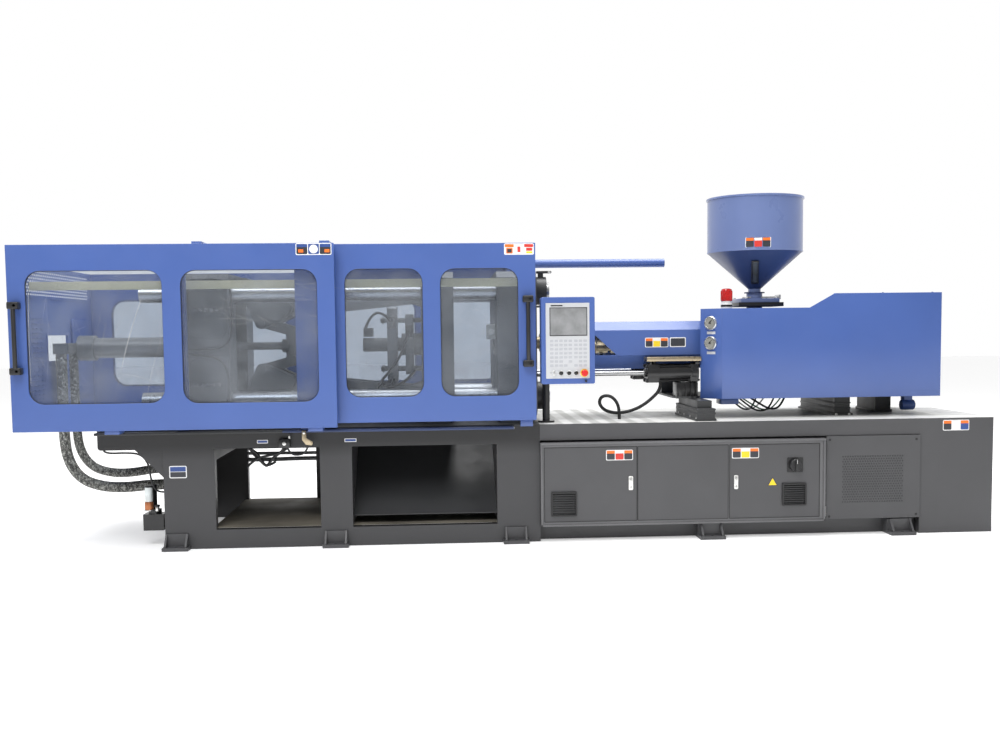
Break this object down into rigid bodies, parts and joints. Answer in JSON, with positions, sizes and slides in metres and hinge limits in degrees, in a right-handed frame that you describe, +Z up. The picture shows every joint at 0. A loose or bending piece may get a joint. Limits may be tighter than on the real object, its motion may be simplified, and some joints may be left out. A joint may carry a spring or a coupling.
{
  "type": "injection moulding machine",
  "caption": "Horizontal injection moulding machine with a guarded toggle clamp, moving platens, a sliding injection unit with hopper, an electrical cabinet and a swivelling control panel.",
  "frame": {"origin": "bottom centre of the bounding box, on the floor", "axes": "+X towards the injection end, -Y towards the operator, +Z up"},
  "size_m": [6.2, 1.78, 2.25],
  "materials": {
    "base_grey": "semi-gloss",
    "deck_steel": "brushed",
    "dark_grey": "satin",
    "black_plastic": "matte",
    "light_plastic": "matte",
    "platen_grey": "painted casting",
    "chrome_bar": "polished",
    "link_steel": "machined",
    "blue_paint": "semi-gloss",
    "clear_pane": "clear plastic sheet, worn",
    "cream_paint": "satin",
    "heater_steel": "satin",
    "black_paint": "semi-gloss",
    "red_plastic": "gloss",
    "silver_knob": "satin",
    "hose_sleeve": "braided sleeve",
    "rubber_black": "matte"
  },
  "bodies": {
    "bed": {"clamp_bed": "base_grey", "bed_feet": "base_grey", "deck_plate": "deck_steel", "product_chute": "dark_grey", "injection_bed": "base_grey", "oil_tank": "base_grey", "vent_panel": "base_grey", "cabinet_shell": "base_grey", "switchgear": "light_plastic", "fixed_platen": "platen_grey", "tie_bars": "chrome_bar", "tie_bar_nuts": "dark_grey", "guard_frame": "blue_paint", "cable_duct": "cream_paint", "door_rails": "blue_paint", "rear_rail": "blue_paint", "rear_guard_panes": "clear_pane", "unit_supports": "base_grey", "control_post": "black_paint", "lubrication_unit": "black_paint", "clamp_hose_outer": "hose_sleeve", "clamp_hose_inner": "hose_sleeve", "deck_hose": "rubber_black"},
    "rear_platen": {"rear_platen": "platen_grey", "clamp_cylinder": "dark_grey"},
    "moving_platen": {"moving_platen": "platen_grey"},
    "crosshead": {"crosshead": "link_steel"},
    "ejector": {"ejector_rod": "chrome_bar"},
    "rear_link_upper": {"rear_link_upper": "link_steel"},
    "rear_link_lower": {"rear_link_lower": "link_steel"},
    "front_link_upper": {"front_link_upper": "link_steel"},
    "front_link_lower": {"front_link_lower": "link_steel"},
    "crosshead_link_upper": {"crosshead_link_upper": "link_steel"},
    "crosshead_link_lower": {"crosshead_link_lower": "link_steel"},
    "left_door": {"left_door": "blue_paint", "left_door_panes": "clear_pane", "left_door_handle": "black_plastic"},
    "right_door": {"right_door": "blue_paint", "right_door_panes": "clear_pane", "right_door_handle": "black_plastic"},
    "rear_door": {"rear_door": "blue_paint", "rear_door_panes": "clear_pane"},
    "injection_unit": {"injection_housing": "platen_grey", "unit_cover": "blue_paint", "barrel": "heater_steel", "barrel_guard": "blue_paint", "hopper": "blue_paint", "carriage_cylinders": "black_paint"},
    "injection_drive": {"injection_drive": "dark_grey"},
    "screw": {"screw": "link_steel"},
    "hopper_gate": {"hopper_gate": "link_steel"},
    "cabinet_door_left": {"cabinet_door_left": "base_grey"},
    "cabinet_door_right": {"cabinet_door_right": "base_grey"},
    "main_switch": {"main_switch": "black_plastic"},
    "control_panel": {"control_panel": "blue_paint"},
    "emergency_stop": {"emergency_stop": "red_plastic"},
    "selector_knob": {"selector_knob": "silver_knob"},
    "panel_button_1": {"panel_button_1": "black_plastic"},
    "panel_button_2": {"panel_button_2": "black_plastic"},
    "panel_button_3": {"panel_button_3": "black_plastic"}
  },
  "joints": [
    {"name": "mould_height", "type": "slide", "parent": "bed", "child": "rear_platen", "axis": [1, 0, 0], "range_m": [-0.1, 0.06], "deforming": ["clamp_hose_outer", "clamp_hose_inner"]},
    {"name": "clamp_stroke", "type": "slide", "parent": "rear_platen", "child": "moving_platen", "axis": [1, 0, 0], "range_m": [-0.3792, 0]},
    {"name": "crosshead_stroke", "type": "slide", "parent": "rear_platen", "child": "crosshead", "axis": [1, 0, 0], "range_m": [-0.3865, 0.001]},
    {"name": "rear_link_pivot_upper", "type": "hinge", "parent": "rear_platen", "child": "rear_link_upper", "pos_m": [-1.79, 0, 1.67], "axis": [0, 1, 0], "range_deg": [-0.5, 78.5]},
    {"name": "front_link_pivot_upper", "type": "hinge", "parent": "moving_platen", "child": "front_link_upper", "pos_m": [-0.69, 0, 1.6], "axis": [0, 1, 0], "range_deg": [-8.92, 0.5]},
    {"name": "crosshead_link_pivot_upper", "type": "hinge", "parent": "crosshead", "child": "crosshead_link_upper", "pos_m": [-1.50898, 0, 1.37], "axis": [0, 1, 0], "range_deg": [-0.5, 38.54]},
    {"name": "rear_link_pivot_lower", "type": "hinge", "parent": "rear_platen", "child": "rear_link_lower", "pos_m": [-1.79, 0, 0.87], "axis": [0, 1, 0], "range_deg": [-78.5, 0.5]},
    {"name": "front_link_pivot_lower", "type": "hinge", "parent": "moving_platen", "child": "front_link_lower", "pos_m": [-0.69, 0, 0.94], "axis": [0, 1, 0], "range_deg": [-0.5, 8.92]},
    {"name": "crosshead_link_pivot_lower", "type": "hinge", "parent": "crosshead", "child": "crosshead_link_lower", "pos_m": [-1.50898, 0, 1.17], "axis": [0, 1, 0], "range_deg": [-38.54, 0.5]},
    {"name": "ejector_stroke", "type": "slide", "parent": "moving_platen", "child": "ejector", "axis": [1, 0, 0], "range_m": [0, 0.1]},
    {"name": "left_door_slide", "type": "slide", "parent": "bed", "child": "left_door", "axis": [1, 0, 0], "range_m": [0, 1.13]},
    {"name": "right_door_slide", "type": "slide", "parent": "bed", "child": "right_door", "axis": [1, 0, 0], "range_m": [-1.1, 0]},
    {"name": "rear_door_slide", "type": "slide", "parent": "bed", "child": "rear_door", "axis": [1, 0, 0], "range_m": [0, 1.05]},
    {"name": "carriage_slide", "type": "slide", "parent": "bed", "child": "injection_unit", "axis": [1, 0, 0], "range_m": [-0.05, 0.2], "deforming": ["deck_hose"]},
    {"name": "injection_stroke", "type": "slide", "parent": "injection_unit", "child": "injection_drive", "axis": [1, 0, 0], "range_m": [0, 0.16]},
    {"name": "screw_spin", "type": "hinge", "parent": "injection_drive", "child": "screw", "pos_m": [1.5, 0, 1.27], "axis": [1, 0, 0], "continuous": true},
    {"name": "hopper_gate_slide", "type": "slide", "parent": "injection_unit", "child": "hopper_gate", "axis": [1, 0, 0], "range_m": [0, 0.12]},
    {"name": "cabinet_door_left_hinge", "type": "hinge", "parent": "bed", "child": "cabinet_door_left", "pos_m": [0.142, -0.6645, 0.368], "axis": [0, 0, 1], "range_deg": [-95, 0]},
    {"name": "cabinet_door_right_hinge", "type": "hinge", "parent": "bed", "child": "cabinet_door_right", "pos_m": [1.9315, -0.6645, 0.368], "axis": [0, 0, 1], "range_deg": [0, 95]},
    {"name": "main_switch_turn", "type": "hinge", "parent": "cabinet_door_right", "child": "main_switch", "pos_m": [1.77, -0.68, 0.47], "axis": [0, 1, 0], "range_deg": [0, 90]},
    {"name": "control_panel_swivel", "type": "hinge", "parent": "bed", "child": "control_panel", "pos_m": [0.175, -0.475, 1.14], "axis": [0, 0, 1], "range_deg": [0, 45]},
    {"name": "emergency_stop_press", "type": "slide", "parent": "control_panel", "child": "emergency_stop", "axis": [0, 1, 0], "range_m": [0, 0.004], "stiffness_N_per_m": 1500},
    {"name": "selector_turn", "type": "hinge", "parent": "control_panel", "child": "selector_knob", "pos_m": [0.191, -0.81, 1.088], "axis": [0, 1, 0], "range_deg": [-45, 45]},
    {"name": "panel_button_1_press", "type": "slide", "parent": "control_panel", "child": "panel_button_1", "axis": [0, 1, 0], "range_m": [0, 0.003], "stiffness_N_per_m": 800},
    {"name": "panel_button_2_press", "type": "slide", "parent": "control_panel", "child": "panel_button_2", "axis": [0, 1, 0], "range_m": [0, 0.003], "stiffness_N_per_m": 800},
    {"name": "panel_button_3_press", "type": "slide", "parent": "control_panel", "child": "panel_button_3", "axis": [0, 1, 0], "range_m": [0, 0.003], "stiffness_N_per_m": 800}
  ],
  "couplings": [
    {"joint": "crosshead_stroke", "follows": "clamp_stroke", "ratio": 1.0141},
    {"joint": "rear_link_pivot_upper", "follows": "clamp_stroke", "rad_per_m": -3.5901},
    {"joint": "front_link_pivot_upper", "follows": "clamp_stroke", "rad_per_m": 0.38776},
    {"joint": "crosshead_link_pivot_upper", "follows": "clamp_stroke", "rad_per_m": -1.7508},
    {"joint": "rear_link_pivot_lower", "follows": "clamp_stroke", "rad_per_m": 3.5901},
    {"joint": "front_link_pivot_lower", "follows": "clamp_stroke", "rad_per_m": -0.38776},
    {"joint": "crosshead_link_pivot_lower", "follows": "clamp_stroke", "rad_per_m": 1.7508}
  ]
}
